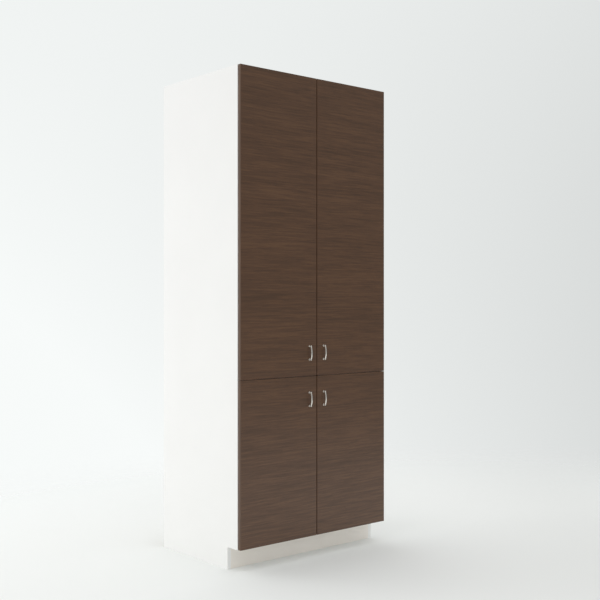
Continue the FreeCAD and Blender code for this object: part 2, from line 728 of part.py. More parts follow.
def bow_pull():
    """A bowed grip between two ball ends, on flared posts that stand on the door, with its screw holes."""
    rise = "(pull_projection - pull_end_projection)"
    bow_radius = f"(((pull_spacing/2)^2 + {rise}^2)/(2*{rise}))"
    centre = ("-pull_width/2", f"{bow_radius} - pull_projection", "0")
    outer = rod("pull_outer", bow_radius, "pull_width", centre, AXIS_Y, 90)
    inner = rod("pull_inner", f"{bow_radius} - pull_grip", "pull_width", centre, AXIS_Y, 90)
    ahead = block("pull_ahead", ("pull_width", "pull_projection", "pull_spacing"),
                  ("-pull_width/2", "-pull_projection", "-pull_spacing/2"))
    grip = doc.addObject("Part::Common", "pull_grip_bar")
    grip.Base = cut("pull_ring", outer, inner)
    grip.Tool = ahead
    doc.recompute()
    rounded = doc.addObject("Part::Fillet", "pull_rounded")
    rounded.Base = grip
    radius = min(S.pull_round, ROUND_LIMIT * S.pull_grip, ROUND_LIMIT * S.pull_width)
    rounded.Edges = [(number, radius, radius) for number in range(1, len(grip.Shape.Edges) + 1)]
    ball_distance = "(pull_end_projection - pull_grip/2)"
    posts = []
    taps = []
    for sign, factor in (("low", -1), ("high", 1)):
        height = f"{factor}*pull_spacing/2"
        base = ("0", "0", height)
        posts.append(rod(f"pull_post_{sign}", "pull_post_radius", ball_distance, base, AXIS_X, 90))
        ball = doc.addObject("Part::Sphere", f"pull_ball_{sign}")
        bind(ball, Radius="pull_ball_radius")
        posts.append(place(ball, ("0", f"-{ball_distance}", height)))
        foot = doc.addObject("Part::Cone", f"pull_foot_{sign}")
        bind(foot, Radius1="pull_foot_radius", Radius2="pull_post_radius", Height="pull_flare")
        foot.Placement.Rotation = FreeCAD.Rotation(AXIS_X, 90)
        posts.append(place(foot, base))
        taps.append(rod(f"pull_tap_{sign}", "pull_screw_radius + fit_clearance",
                        "pull_screw_grip + fit_clearance", base, AXIS_X, 90))
    return cut("pull_template", fuse("pull_whole", rounded, *posts), *taps)


def pull_screws():
    """Two machine screws from the door's back into the pull."""
    screws = []
    for sign, factor in (("low", -1), ("high", 1)):
        z = f"{factor}*pull_spacing/2"
        shank = rod(f"pull_screw_{sign}", "pull_screw_radius", "door_thick + pull_screw_grip",
                    ("0", "door_thick", z), AXIS_X, 90)
        head = rod(f"pull_screw_head_{sign}", "pull_screw_head_radius", "pull_screw_head_height",
                   ("0", "door_thick + pull_screw_head_height", z), AXIS_X, 90)
        screws.append(fuse(f"pull_screw_whole_{sign}", shank, head))
    return group("pull_screw_template", *screws)


DOOR_WIDTH = "((cabinet_width - door_pair_gap)/2 - door_reveal)"
DOOR_BACK = f"({FRONT} - door_gap)"
DOOR_LOW = {"upper": "split_height + door_split_gap/2", "lower": "toe_height + door_reveal"}
DOOR_HIGH = {"upper": "cabinet_height - door_reveal", "lower": "split_height - door_split_gap/2"}
DOOR_HINGES = {"upper": upper_hinges, "lower": lower_hinges}
BUMPER_HEIGHTS = {
    "upper": ("split_height + panel_thick/2 - bumper_radius", "cabinet_height - panel_thick/2"),
    "lower": ("toe_height + panel_thick/2", "split_height - panel_thick/2 + bumper_radius"),
}
pull_x = -S.door_pair_gap / 2 - S.pull_edge_offset
pull_shift = S.door_split_gap / 2 + S.pull_hole_offset + S.pull_spacing / 2
PULL_POINT = {"upper": Vector(pull_x, door_front, S.split_height + pull_shift),
              "lower": Vector(pull_x, door_front, S.split_height - pull_shift)}


def door_slab(row, bores):
    """One left-hand door: its board, drilled for pull and hinges, and the band round its edges."""
    height = f"({DOOR_HIGH[row]} - ({DOOR_LOW[row]}))"
    corner = ("-cabinet_width/2 + door_reveal", f"{DOOR_BACK} - door_thick", DOOR_LOW[row])
    core_size = (f"{DOOR_WIDTH} - 2*edging_thick", "door_thick", f"{height} - 2*edging_thick")
    core_corner = (f"{corner[0]} + edging_thick", corner[1], f"{corner[2]} + edging_thick")
    outline = block(f"{row}_outline", (DOOR_WIDTH, "door_thick", height), corner)
    core = block(f"{row}_core", core_size, core_corner)
    centre = PULL_POINT[row]
    half = AXIS_Z * (S.pull_spacing / 2)
    pull_holes = drill(f"{row}_pull_holes", [centre - half, centre + half], AXIS_Y,
                       S.pull_screw_radius + S.fit_clearance, S.door_thick)
    hinge_holes = copies(f"{row}_hinge_holes", bores, hinge_points(DOOR_HINGES[row]))
    door = cut(f"{row}_left_door", core, pull_holes, hinge_holes)
    edging = cut(f"{row}_left_door_edging", outline, core)
    return door, edging


def door_bumpers(row):
    """Soft dots near the free corners, as thick as the gap behind the door."""
    x = "-door_pair_gap/2 - bumper_edge_offset"
    dots = [rod(f"{row}_bumper_{number}", "bumper_radius", "door_gap", (x, FRONT, height), AXIS_X, 90)
            for number, height in enumerate(BUMPER_HEIGHTS[row], 1)]
    return group(f"{row}_left_bumpers", *dots)


def doors(links, cup_pins):
    """Both rows of doors with their pulls and hinge pieces, left and right."""
    bores, pull, screws = cup_bores(), bow_pull(), pull_screws()
    cup = hinge_cup(cup_pins)
    for row in ("upper", "lower"):
        points = hinge_points(DOOR_HINGES[row])
        left = f"{row}_left"
        door, edging = door_slab(row, bores)
        pieces = {
            "door": door,
            "door_edging": edging,
            "handle": copies(f"{left}_handle", pull, [PULL_POINT[row]]),
            "handle_screws": copies(f"{left}_handle_screws", screws, [PULL_POINT[row]]),
            "hinge_cups": copies(f"{left}_hinge_cups", cup, points),
            "cup_pins": copies(f"{left}_cup_pins", cup_pins, points),
            "bumpers": door_bumpers(row),
            "inner_links": copies(f"{left}_inner_links", links[0], points),
            "outer_links": copies(f"{left}_outer_links", links[1], points),
        }
        for kind, piece in pieces.items():
            node(piece)
            node(mirrored(f"{row}_right_{kind}", piece))


side_panels()
level_boards()
back_and_rails()
toe_kick()
shelves()
shelf_pins()
joinery()
carcass_edging()
shelf_edging()
arm_pins, cup_pins = hinge_pins()
hinge_carcass_nodes(arm_pins)
doors(hinge_links(), cup_pins)
doc.recompute()

failed = [obj.Name for obj in doc.Objects if "Invalid" in obj.State or "Error" in obj.State]
if failed:
    raise RuntimeError(f"objects that failed: {failed}")
for obj in nodes:
    if obj.Shape.isNull() or not obj.Shape.isValid():
        raise RuntimeError(f"{obj.Label} has no valid shape")
for obj in nodes:
    obj.Shape.exportStep(f"parts/{obj.Label}.step")
    print(f"{obj.Label}: {len(obj.Shape.Solids)} solids, {obj.Shape.Volume / 1000:.2f} cm3")
print(f"{len(nodes)} nodes")
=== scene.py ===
# %% [markdown]
# # A tall utility cabinet
# Two pairs of dark wood-print doors close a white board carcass. The construction arrives as a fixed
# frame of named nodes, in metres, with +Z up and the doors facing -Y. This lesson dresses that frame:
# first its finishes, then the small pieces whose rounded shapes catch the light, then the studio.

# %% Load the frame
import math

import bpy
from mathutils import Matrix, Vector


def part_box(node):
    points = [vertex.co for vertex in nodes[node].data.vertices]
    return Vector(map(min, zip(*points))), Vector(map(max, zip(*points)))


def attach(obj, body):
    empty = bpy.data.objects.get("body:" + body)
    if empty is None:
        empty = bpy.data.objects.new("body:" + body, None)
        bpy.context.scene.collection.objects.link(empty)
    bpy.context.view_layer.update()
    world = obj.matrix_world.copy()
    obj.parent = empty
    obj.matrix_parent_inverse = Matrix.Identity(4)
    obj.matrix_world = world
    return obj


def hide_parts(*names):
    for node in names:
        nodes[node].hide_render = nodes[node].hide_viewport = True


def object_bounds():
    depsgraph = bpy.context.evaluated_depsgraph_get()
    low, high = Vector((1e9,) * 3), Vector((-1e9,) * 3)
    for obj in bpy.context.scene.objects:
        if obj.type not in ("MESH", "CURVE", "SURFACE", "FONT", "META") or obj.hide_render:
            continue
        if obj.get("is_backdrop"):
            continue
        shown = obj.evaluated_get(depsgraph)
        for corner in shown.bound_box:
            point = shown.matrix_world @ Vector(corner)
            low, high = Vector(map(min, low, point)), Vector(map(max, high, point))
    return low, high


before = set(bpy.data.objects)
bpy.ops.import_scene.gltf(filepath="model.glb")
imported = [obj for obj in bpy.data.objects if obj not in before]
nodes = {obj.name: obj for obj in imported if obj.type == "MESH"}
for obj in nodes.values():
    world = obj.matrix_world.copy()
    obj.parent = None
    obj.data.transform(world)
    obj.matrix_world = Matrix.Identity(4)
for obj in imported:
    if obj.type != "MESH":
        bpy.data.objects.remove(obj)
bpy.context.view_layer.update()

MM = 0.001
DOORS = ("upper_left", "upper_right", "lower_left", "lower_right")

# %% [markdown]
# ## Helpers for finishes
# Every colour below is written as an sRGB hex value, the way a paint or print sample is noted, and one
# function turns it into the linear numbers that a shader works with. A second function adds a shader
# node: it sets the node's properties first, because they can change its sockets, and then its inputs.
# Two short ones open and close a finish, which is the same for all of them.

# %% Colours and nodes


def linear(code):
    """An sRGB hex colour as the linear values of a shader, by the formula of the sRGB standard."""
    shares = [int(code[start:start + 2], 16) / 255 for start in (1, 3, 5)]
    return (*[s / 12.92 if s <= 0.04045 else ((s + 0.055) / 1.055) ** 2.4 for s in shares], 1.0)


def add_node(tree, kind, inputs=None, stops=(), **settings):
    """Add a node with its settings, its inputs as values or links, and the stops of a colour ramp."""
    node = tree.nodes.new(kind)
    for name, value in settings.items():
        setattr(node, name, value)
    for name, value in (inputs or {}).items():
        if isinstance(value, bpy.types.NodeSocket):
            tree.links.new(value, node.inputs[name])
        else:
            node.inputs[name].default_value = value
    # A ramp is born with two stops, its ends. A third one is listed last and goes in between.
    for number, (position, code) in enumerate(stops):
        elements = node.color_ramp.elements
        stop = elements[number] if number < len(elements) else elements.new(position)
        stop.position = position
        stop.color = linear(code)
    return node


def new_finish(name):
    """An empty material, its node tree and the object coordinates that its patterns use."""
    material = bpy.data.materials.new(name)
    material.use_nodes = True
    tree = material.node_tree
    tree.nodes.clear()
    return material, tree, add_node(tree, "ShaderNodeTexCoord").outputs["Object"]


def close_finish(tree, shader_inputs):
    """Give a tree its surface shader and its output."""
    shader = add_node(tree, "ShaderNodeBsdfPrincipled", shader_inputs)
    add_node(tree, "ShaderNodeOutputMaterial", {"Surface": shader.outputs["BSDF"]})


print("sRGB #808080 is", round(linear("#808080")[0], 3), "in linear light")

# %% [markdown]
# ## The doors' wood print
# The door faces are melamine: printed paper, soaked in resin and pressed on to board under a plate with
# a fine linear texture. The print is a dark walnut whose grain runs level, from the left door on to the
# right one. It could be drawn as a wave texture, but a wave repeats. Three noises, each stretched along
# the grain by its own real length and height, give broad bands, fine streaks and short pores instead.

# %% A function for wood print
# Most values of a noise lie between these two.
NOISE_LOW, NOISE_HIGH = 0.3, 0.7
GRAIN_WANDER = 350 * MM
GRAIN_DRIFT = 7 * MM
GRAIN_BREAK = 0.6
# Each is a length along the grain, a height across it and a detail. Real pores are a tenth of a
# millimetre high, and are drawn coarser here, because they would be too fine to show.
BANDS = (1300 * MM, 60 * MM, 3.0)
STREAKS = (150 * MM, 6 * MM, 4.0)
PORES = (34 * MM, 0.9 * MM, 1.0)
STREAK_SHARE = 0.7
PRINT_STOPS = ((0.36, "#4c331f"), (0.64, "#65472f"), (0.5, "#583c27"))
PORE_BOTTOM, PORE_RIM = 0.3, 0.46
PORE_SHADE = 0.72
PRINT_DULL, PRINT_SATIN = 0.38, 0.3
PRESS_STRENGTH = 0.25
PRESS_DEPTH = 0.12 * MM
RESIN_IOR = 1.6


def wood_print(name, along):
    """Walnut print with its grain along one axis: low contrast, satin, with pressed pores."""
    material, tree, place = new_finish(name)
    across = Vector((1, 1, 1)) - along
    wander = add_node(tree, "ShaderNodeTexNoise", {
        "Vector": place, "Scale": 1 / GRAIN_WANDER, "Detail": 1.0})
    drift = add_node(tree, "ShaderNodeVectorMath", {
        0: wander.outputs["Color"], 1: across * GRAIN_DRIFT}, operation="MULTIPLY")
    drawn = add_node(tree, "ShaderNodeVectorMath", {
        0: place, 1: drift.outputs["Vector"]}, operation="ADD").outputs["Vector"]

    def stretched(length, height, detail):
        scale = along / length + across / height
        laid = add_node(tree, "ShaderNodeMapping", {"Vector": drawn, "Scale": scale}).outputs["Vector"]
        return add_node(tree, "ShaderNodeTexNoise", {
            "Vector": laid, "Scale": 1.0, "Detail": detail, "Roughness": GRAIN_BREAK}).outputs["Fac"]

    bands, streaks, pores = stretched(*BANDS), stretched(*STREAKS), stretched(*PORES)
    tone = add_node(tree, "ShaderNodeMix", {0: STREAK_SHARE, 2: bands, 3: streaks}).outputs[0]
    ramp = add_node(tree, "ShaderNodeValToRGB", {"Fac": tone}, stops=PRINT_STOPS)
    pore_shade = add_node(tree, "ShaderNodeMapRange", {
        "Value": pores, "From Min": PORE_BOTTOM, "From Max": PORE_RIM,
        "To Min": PORE_SHADE, "To Max": 1.0}).outputs["Result"]
    colour = add_node(tree, "ShaderNodeVectorMath", {
        0: ramp.outputs["Color"], 1: pore_shade}, operation="MULTIPLY")
    gloss = add_node(tree, "ShaderNodeMapRange", {
        "Value": streaks, "From Min": NOISE_LOW, "From Max": NOISE_HIGH,
        "To Min": PRINT_DULL, "To Max": PRINT_SATIN})
    height = add_node(tree, "ShaderNodeMath", {0: streaks, 1: pore_shade}, operation="ADD")
    press = add_node(tree, "ShaderNodeBump", {
        "Height": height.outputs["Value"], "Strength": PRESS_STRENGTH, "Distance": PRESS_DEPTH})
    close_finish(tree, {
        "Base Color": colour.outputs["Vector"], "Roughness": gloss.outputs["Result"],
        "Normal": press.outputs["Normal"], "IOR": RESIN_IOR})
    return material


print(f"bands, streaks and pores of {[round(noise[1] / MM, 1) for noise in (BANDS, STREAKS, PORES)]} mm")

# %% Door faces and door bands
ALONG_X = Vector((1, 0, 0))
ALONG_Z = Vector((0, 0, 1))
# Pressed melamine gives a quiet dark brown: level streaks, tiny dark pores and a soft satin sheen.
door_melamine = wood_print("walnut_print_melamine", ALONG_X)
# The bands carry the same print, and each looks like a cut from the door's own edge.
level_band = wood_print("walnut_print_band_level", ALONG_X)
upright_band = wood_print("walnut_print_band_upright", ALONG_Z)
print(f"door finish {door_melamine.name}, bands {level_band.name} and {upright_band.name}")

# %% [markdown]
# ## White board
# The carcass is particleboard with white melamine on both faces, pressed to a faint pearl texture.
# Only edges that show from the front are banded, so the rear edges keep their raw core of glued chips.
# A separate object could stand for each raw edge. Here the finish itself looks at the direction that a
# face points in, which costs no geometry and stays right on every board.

# %% A function for white melamine with a raw core
# A face points along an axis when its normal leans this far along it.
FACING = 0.5
# The real pearl texture is a few tenths of a millimetre fine, and is drawn coarser, so that it shows.
PEARL = 1.4 * MM
PEARL_STRENGTH = 0.2
PEARL_DEPTH = 0.03 * MM
CLOUD = 260 * MM
COOL_WHITES = ("#f1f1ef", "#f3f3f1")
BOARD_SATIN, BOARD_DULL = 0.42, 0.5
BOARD_IOR = 1.5
CHIP_LENGTH = 5 * MM
CHIP_THICK = 1.6 * MM
CHIP_STOPS = ((0.2, "#8a6b45"), (0.8, "#d3b98f"), (0.5, "#b8976a"))
CHIP_ROUGH = 0.85


def white_board(name, raw_towards=None, whites=COOL_WHITES):
    """White melamine with a pearl texture, and raw core on faces that point one way."""
    material, tree, place = new_finish(name)
    pearl = add_node(tree, "ShaderNodeTexNoise", {"Vector": place, "Scale": 1 / PEARL, "Detail": 2.0})
    cloud = add_node(tree, "ShaderNodeTexNoise", {"Vector": place, "Scale": 1 / CLOUD, "Detail": 3.0})
    white = add_node(tree, "ShaderNodeValToRGB", {"Fac": cloud.outputs["Fac"]},
                     stops=((NOISE_LOW, whites[0]), (NOISE_HIGH, whites[1])))
    satin = add_node(tree, "ShaderNodeMapRange", {
        "Value": pearl.outputs["Fac"], "From Min": NOISE_LOW, "From Max": NOISE_HIGH,
        "To Min": BOARD_SATIN, "To Max": BOARD_DULL})
    colour, roughness, height = white.outputs["Color"], satin.outputs["Result"], pearl.outputs["Fac"]
    if raw_towards:
        normal = add_node(tree, "ShaderNodeTexCoord").outputs["Normal"]
        lean = add_node(tree, "ShaderNodeVectorMath", {0: normal, 1: raw_towards}, operation="DOT_PRODUCT")
        raw = add_node(tree, "ShaderNodeMath", {
            0: lean.outputs["Value"], 1: FACING}, operation="GREATER_THAN").outputs["Value"]
        laid = add_node(tree, "ShaderNodeMapping", {
            "Vector": place, "Scale": (1 / CHIP_THICK, 1 / CHIP_THICK, 1 / CHIP_LENGTH)})
        chips = add_node(tree, "ShaderNodeTexVoronoi", {"Vector": laid.outputs["Vector"], "Scale": 1.0})
        core = add_node(tree, "ShaderNodeValToRGB", {"Fac": chips.outputs["Color"]}, stops=CHIP_STOPS)
        colour = add_node(tree, "ShaderNodeMix", {
            0: raw, 6: colour, 7: core.outputs["Color"]}, data_type="RGBA").outputs[2]
        roughness = add_node(tree, "ShaderNodeMix", {0: raw, 2: roughness, 3: CHIP_ROUGH}).outputs[0]
        height = add_node(tree, "ShaderNodeMix", {
            0: raw, 2: height, 3: chips.outputs["Distance"]}).outputs[0]
    peel = add_node(tree, "ShaderNodeBump", {
        "Height": height, "Strength": PEARL_STRENGTH, "Distance": PEARL_DEPTH})
    close_finish(tree, {
        "Base Color": colour, "Roughness": roughness, "Normal": peel.outputs["Normal"], "IOR": BOARD_IOR})
    return material


print(f"pearl of {PEARL / MM:.1f} mm, chips of {CHIP_LENGTH / MM:.0f} x {CHIP_THICK / MM:.1f} mm")

# %% White finishes
UP = (0, 0, 1)
REAR = (0, 1, 0)
WARM_WHITES = ("#f0ebe3", "#f3eee7")
# White melamine gives a clean, even face with a faint sheen, and its core a speckle of pale brown chips.
board = white_board("white_melamine_raw_rear_edge", REAR)
rail_board = white_board("white_melamine_raw_upper_edge", UP)
# The toe kick's white is written a little creamier than the side beside it.
toe_board = white_board("warm_white_melamine", whites=WARM_WHITES)
# Painted hardboard and a plastic band give the same white with no core to be seen.
back_sheet = white_board("hardboard_white_both_faces")
white_band = white_board("white_edge_band")
print("white finishes:", ", ".join(m.name for m in (board, rail_board, toe_board, back_sheet, white_band)))

# %% [markdown]
# ## Metals, dowels and bumpers
# The pulls are cast zinc with a satin nickel plate, brushed along their length. Hinges and screws are
# steel with a brighter nickel plate, and the cams are bare zinc castings. They could be three separate
# materials. One function covers all of them, because they differ only in colour, polish and the size
# and direction of their marks. Dowels and bumpers are simple enough to be written out by themselves.

# %% A function for metals
MARK_STRENGTH = 0.2


def metal(name, colour, shade, roughness, mark_mm, depth_mm):
    """A metal whose polish varies with fine marks of a real size along X, Y and Z."""
    material, tree, place = new_finish(name)
    smoothest, roughest = roughness
    laid = add_node(tree, "ShaderNodeMapping", {
        "Vector": place, "Scale": [1 / (side * MM) for side in mark_mm]})
    marks = add_node(tree, "ShaderNodeTexNoise", {
        "Vector": laid.outputs["Vector"], "Scale": 1.0, "Detail": 2.0}).outputs["Fac"]
    tint = add_node(tree, "ShaderNodeValToRGB", {"Fac": marks},
                    stops=((NOISE_LOW, shade), (NOISE_HIGH, colour)))
    polish = add_node(tree, "ShaderNodeMapRange", {
        "Value": marks, "From Min": NOISE_LOW, "From Max": NOISE_HIGH,
        "To Min": roughest, "To Max": smoothest})
    grit = add_node(tree, "ShaderNodeBump", {
        "Height": marks, "Strength": MARK_STRENGTH, "Distance": depth_mm * MM})
    close_finish(tree, {
        "Base Color": tint.outputs["Color"], "Metallic": 1.0, "Roughness": polish.outputs["Result"],
        "Normal": grit.outputs["Normal"]})
    return material


# Satin nickel gives a pale, slightly warm shine that is drawn out along the pull. The marks of a real
# brush are some hundredths of a millimetre apart, and are drawn coarser, so that they show.
satin_nickel = metal("satin_nickel_brushed", "#f6f1ea", "#eae4dc", roughness=(0.22, 0.32),
                     mark_mm=(0.25, 0.25, 9), depth_mm=0.01)
# Bright nickel on pressed steel gives neutral grey with small, clear highlights and a cloudy polish.
nickel_steel = metal("nickel_plated_steel", "#d2d0cb", "#c6c4bf", roughness=(0.2, 0.32),
                     mark_mm=(3, 3, 3), depth_mm=0.01)
# A bare zinc casting gives a dull, cool grey. Its sandy grit is drawn coarser, so that it shows.
cast_zinc = metal("cast_zinc", "#b4b6b8", "#a3a5a7", roughness=(0.4, 0.52),
                  mark_mm=(0.8, 0.8, 0.8), depth_mm=0.03)
print("metals:", ", ".join(m.name for m in (satin_nickel, nickel_steel, cast_zinc)))

# %% Beech for the dowels and soft polyurethane for the bumpers
FIBRE_LENGTH = 12 * MM
FIBRE_THICK = 0.7 * MM
BEECH_ROUGH = 0.6
HAZE = 1.5 * MM
CLEAR_SMOOTH, CLEAR_ROUGH = 0.16, 0.28
CLEAR_IOR = 1.49
CLEAR_SHARE = 0.75

# Turned beech gives a pinkish tan with short, fine flecks along the dowel.
beech, tree, place = new_finish("beech_turned")
fibres = add_node(tree, "ShaderNodeMapping", {
    "Vector": place, "Scale": (1 / FIBRE_LENGTH, 1 / FIBRE_THICK, 1 / FIBRE_THICK)})
fleck = add_node(tree, "ShaderNodeTexNoise", {
    "Vector": fibres.outputs["Vector"], "Scale": 1.0, "Detail": 3.0})
wood = add_node(tree, "ShaderNodeValToRGB", {"Fac": fleck.outputs["Fac"]},
                stops=((NOISE_LOW, "#b98f62"), (NOISE_HIGH, "#dcbb90")))
close_finish(tree, {"Base Color": wood.outputs["Color"], "Roughness": BEECH_ROUGH})

# Moulded polyurethane gives a milky clear drop: the door shows through it, under a soft highlight.
soft_clear, tree, place = new_finish("clear_polyurethane")
haze = add_node(tree, "ShaderNodeTexNoise", {"Vector": place, "Scale": 1 / HAZE, "Detail": 2.0})
sheen = add_node(tree, "ShaderNodeMapRange", {
    "Value": haze.outputs["Fac"], "From Min": NOISE_LOW, "From Max": NOISE_HIGH,
    "To Min": CLEAR_SMOOTH, "To Max": CLEAR_ROUGH})
close_finish(tree, {
    "Base Color": linear("#e6ebea"), "Roughness": sheen.outputs["Result"], "IOR": CLEAR_IOR,
    "Transmission Weight": CLEAR_SHARE})
print(f"{beech.name} and {soft_clear.name}")

# %% [markdown]
# ## Finishes on the frame's own nodes
# Boards, hinges and fasteners already have their true shapes, so they only need a finish. They could be
# modelled anew, but that would risk their fit. A node keeps its mesh and its place, and the material
# slot that it came with is given the new material.

# %% Dress the nodes
SHELVES = [name for name in nodes if "_shelf_" in name]
DRESS = {
    board: ["left_side_panel", "right_side_panel", "top_panel", "bottom_panel", "fixed_shelf", *SHELVES],
    rail_board: ["top_hanging_rail", "lower_hanging_rail"],
    toe_board: ["toe_kick"],
    back_sheet: ["back_panel"],
    white_band: ["carcass_edging", "shelf_edging"],
    door_melamine: [f"{door}_door" for door in DOORS],
    level_band: [f"{door}_door_edging" for door in DOORS],
    satin_nickel: [f"{door}_handle" for door in DOORS],
    nickel_steel: ["shelf_pins", "cam_bolts", "hinge_plates", "plate_screws", "hinge_arms", "arm_pins",
                   *[f"{door}_{piece}" for door in DOORS for piece in
                     ("handle_screws", "hinge_cups", "cup_pins", "inner_links", "outer_links")]],
    cast_zinc: ["cam_discs"],
    beech: ["wood_dowels"],
    soft_clear: [f"{door}_bumpers" for door in DOORS],
}
for finish, names in DRESS.items():
    for name in names:
        nodes[name].material_slots[0].material = finish
dressed = {name for names in DRESS.values() for name in names}
print(f"{len(dressed)} nodes dressed, left bare: {sorted(set(nodes) - dressed)}")

# %% [markdown]
# ## Modelling by operators
# New pieces are modelled the way a person does it by hand: add a primitive, go into edit mode, select
# by place, extrude, inset or bevel, and come back. Operators act on whatever is selected, and the nodes
# arrive selected, so each piece starts from an empty selection. Its place ends up in its mesh, with the
# object left at the origin. A finished piece rides on a body and stands for the node that it refines.

# %% Start a piece, select in it and come back


def start(add_primitive, location, scale=(1, 1, 1), turn=(0, 0, 0), **options):
    """Add a primitive at its place and size, and put both into its mesh."""
    bpy.ops.object.select_all(action="DESELECT")
    add_primitive(location=location, **options)
    piece = bpy.context.object
    piece.scale = scale
    piece.rotation_euler = turn
    bpy.ops.object.transform_apply(location=True, rotation=True, scale=True)
    return piece


def pick(piece, kind, wanted):
    """Go into edit mode with only the wanted vertices, edges or faces selected."""
    bpy.ops.object.mode_set(mode="EDIT")
    bpy.ops.mesh.select_mode(type=kind)
    bpy.ops.mesh.select_all(action="DESELECT")
    bpy.ops.object.mode_set(mode="OBJECT")
    parts = {"VERT": piece.data.vertices, "EDGE": piece.data.edges, "FACE": piece.data.polygons}[kind]
    for part in parts:
        part.select = wanted(part)
    bpy.ops.object.mode_set(mode="EDIT")


def done():
    """Come back from edit mode."""
    bpy.ops.object.mode_set(mode="OBJECT")


print(f"{len(bpy.context.selected_objects)} objects are selected to begin with")

# %% Finish a piece and hand it over
SMOOTH_BELOW = 40
SLACK = 0.02 * MM


def apply_modifier(piece, kind, **settings):
    """Add a modifier with its settings and apply it to the mesh."""
    modifier = piece.modifiers.new(kind.lower(), kind)
    for name, value in settings.items():
        setattr(modifier, name, value)
    bpy.context.view_layer.objects.active = piece
    bpy.ops.object.modifier_apply(modifier=modifier.name)


def smooth(piece, degrees=SMOOTH_BELOW):
    """Shade round faces smooth and keep the corners that are sharper than an angle."""
    bpy.ops.object.select_all(action="DESELECT")
    piece.select_set(True)
    bpy.context.view_layer.objects.active = piece
    bpy.ops.object.shade_smooth_by_angle(angle=math.radians(degrees))


def hand_over(piece, finish, body, slot, *replaced):
    """Give a piece its finish, the body that it rides on and the nodes that it stands for."""
    piece.data.materials.clear()
    piece.data.materials.append(finish)
    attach(piece, body)
    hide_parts(*replaced)
    print(f"{piece.name}: {len(piece.data.polygons)} faces on {body}")


def near(value, target):
    """Tell whether two places are the same within a small slack."""
    return abs(value - target) < SLACK


print(f"corners below {SMOOTH_BELOW} degrees are shaded smooth")

# %% [markdown]
# ## Edge bands on the doors
# Each door's four narrow edges are covered by a 1 mm plastic band, trimmed flush and eased with a
# scraper so that no sharp corner is left. Four strips could be laid side by side, but their corners
# would have to be mitred. A box without its front and back is the band's outline all at once. A
# solidify modifier gives it its thickness inwards, and a bevel eases the outer corners.

# %% Door edge bands
BAND_EASE = 0.25 * MM
EASE_STEPS = 3


def door_band(door):
    """The band round one door, with grain along each of its four strips."""
    low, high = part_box(f"{door}_door_edging")
    core_low, core_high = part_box(f"{door}_door")
    band = start(bpy.ops.mesh.primitive_cube_add, (low + high) / 2, high - low, size=1)
    pick(band, "FACE", lambda face: abs(face.normal.y) > FACING)
    bpy.ops.mesh.delete(type="FACE")
    done()
    apply_modifier(band, "SOLIDIFY", thickness=core_low.x - low.x, offset=-1, use_even_offset=True)

    def outer_edge(edge):
        ends = [band.data.vertices[number].co for number in edge.vertices]
        level = near(ends[0].y, ends[1].y)
        sides = [(axis, side[axis]) for axis in (0, 2) for side in (low, high)]
        return level and any(all(near(end[axis], place) for end in ends) for axis, place in sides)

    pick(band, "EDGE", outer_edge)
    bpy.ops.mesh.bevel(offset=BAND_EASE, segments=EASE_STEPS, affect="EDGES")
    done()
    band.name = f"{door}_edge_band"
    smooth(band)
    hand_over(band, level_band, f"{door}_door", "door_edge_band", f"{door}_door_edging")
    band.data.materials.append(upright_band)
    for face in band.data.polygons:
        face.material_index = int(core_low.z < face.center.z < core_high.z)


for door in DOORS:
    door_band(door)

# %% [markdown]
# ## Edge bands on the carcass
# The front edges of the sides, the fixed boards and the loose shelves carry a white band, which hides the
# raw core. One long box could stand for it all, but each real band ends where its board ends. So each
# is a strip in front of its board, and takes its width and height from the board's own box. The sides'
# bands start above the toe space.

# %% A band for one board
band_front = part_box("carcass_edging")[0].y
BAND_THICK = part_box("left_side_panel")[0].y - band_front
toe_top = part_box("bottom_panel")[0].z
# A level band stops a hair short of the upright one beside it, as two cut ends do.
BAND_JOINT = 0.05 * MM


def board_band(name):
    """The eased strip on the front edge of one board."""
    low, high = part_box(name)
    foot = max(low.z, toe_top)
    upright = high.z - foot > high.x - low.x
    width = high.x - low.x - (0 if upright else 2 * BAND_JOINT)
    middle = Vector(((low.x + high.x) / 2, low.y - BAND_THICK / 2, (foot + high.z) / 2))
    strip = start(bpy.ops.mesh.primitive_cube_add, middle, (width, BAND_THICK, high.z - foot), size=1)
    front = low.y - BAND_THICK
    long_axis = 2 if upright else 0

    def front_edge(edge):
        ends = [strip.data.vertices[number].co for number in edge.vertices]
        lengthwise = not near(ends[0][long_axis], ends[1][long_axis])
        return lengthwise and all(near(end.y, front) for end in ends)

    pick(strip, "EDGE", front_edge)
    bpy.ops.mesh.bevel(offset=BAND_EASE, segments=EASE_STEPS, affect="EDGES")
    done()
    return strip


print(f"bands {BAND_THICK / MM:.1f} mm thick, above the toe space of {toe_top / MM:.1f} mm")

# %% Carcass and shelf edge bands
FIXED_BOARDS = ["left_side_panel", "right_side_panel", "top_panel", "fixed_shelf", "bottom_panel"]


def joined(name, pieces):
    """Join pieces into one object with a name."""
    bpy.ops.object.select_all(action="DESELECT")
    for piece in pieces:
        piece.select_set(True)
    bpy.context.view_layer.objects.active = pieces[0]
    if len(pieces) > 1:
        bpy.ops.object.join()
    pieces[0].name = name
    return pieces[0]


for group, boards in (("carcass", FIXED_BOARDS), ("shelf", SHELVES)):
    bands = joined(f"{group}_edge_bands", [board_band(name) for name in boards])
    smooth(bands)
    hand_over(bands, white_band, "carcass", "white_edging", f"{group}_edging")

# %% [markdown]
# ## Bow pulls
# A pull is one casting: a grip that bows gently away from the door, between two ball ends on short
# posts with flared feet. Bending a straight bar would need a window, so the grip's section is spun
# about the centre of its bow instead. Posts and balls grow from circles by extruding and resizing. A
# remesh melts the forms into one skin, as a casting has, and smoothing fillets the inner corners.

